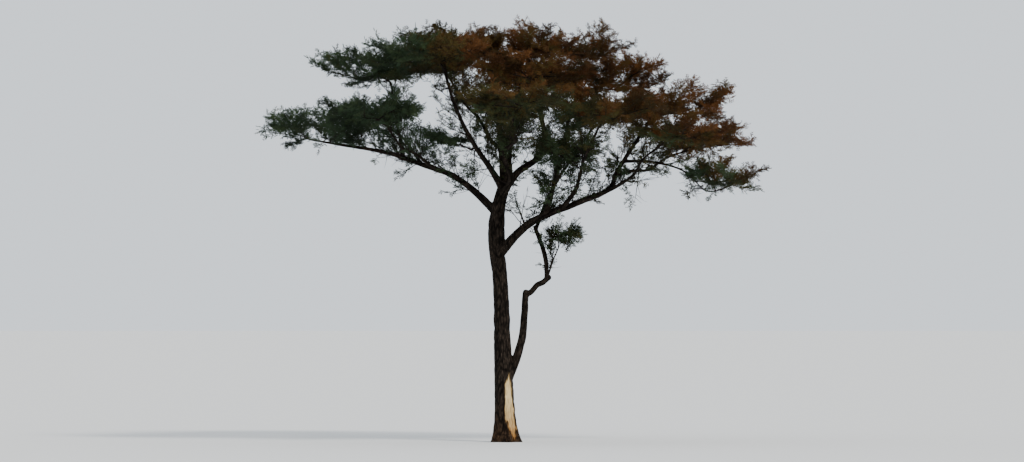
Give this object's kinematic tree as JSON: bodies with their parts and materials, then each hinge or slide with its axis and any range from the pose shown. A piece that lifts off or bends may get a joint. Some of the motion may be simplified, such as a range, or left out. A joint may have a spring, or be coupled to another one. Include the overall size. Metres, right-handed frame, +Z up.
{
  "type": "umbrella thorn acacia tree",
  "caption": "Rooted umbrella thorn acacia: tall bare trunk with an elbowed side stem, spreading boughs and a wide, low-domed crown of fine foliage in tiers.",
  "frame": {"origin": "middle of the flat cut under the trunk, at ground level", "axes": "+Z up; X runs across the widest view of the crown, with the low right tip towards +X; +Y runs away from the viewer of the front"},
  "size_m": [10.9011, 9.6872, 9.0351],
  "materials": {
    "bark": "rough, dark grey-brown, fissured bark",
    "green_foliage": "matt, dark green fine leaves",
    "olive_foliage": "matt, dry olive to russet fine leaves"
  },
  "bodies": {
    "root": {"trunk": "bark", "left_bough": "bark", "left_riser": "bark", "left_front_bough": "bark", "left_back_bough": "bark", "middle_leader": "bark", "left_leader": "bark", "tuft_twig": "bark", "back_left_bough": "bark", "right_leader": "bark", "front_leader": "bark", "far_front_bough": "bark", "back_leader": "bark", "far_back_bough": "bark", "right_bough": "bark", "right_riser": "bark", "middle_twig": "bark", "front_right_bough": "bark", "right_front_bough": "bark", "right_back_bough": "bark", "right_low_bough": "bark", "cross_twig": "bark", "second_stem_lower": "bark", "second_stem_elbow": "bark", "second_stem_upper": "bark", "second_stem_top": "bark", "sprig_twig": "bark", "left_low_foliage": "green_foliage", "left_front_foliage": "green_foliage", "left_back_foliage": "green_foliage", "left_top_foliage": "green_foliage", "front_left_foliage": "green_foliage", "back_left_foliage": "green_foliage", "far_front_foliage": "green_foliage", "far_back_foliage": "green_foliage", "right_tip_foliage": "green_foliage", "tuft_foliage": "green_foliage", "sprig_foliage": "green_foliage", "centre_left_foliage": "olive_foliage", "centre_foliage": "olive_foliage", "front_foliage": "olive_foliage", "back_foliage": "olive_foliage", "centre_right_foliage": "olive_foliage", "front_right_foliage": "olive_foliage", "back_right_foliage": "olive_foliage", "right_foliage": "olive_foliage", "right_front_foliage": "olive_foliage", "right_back_foliage": "olive_foliage", "middle_foliage": "olive_foliage"}
  },
  "joints": []
}
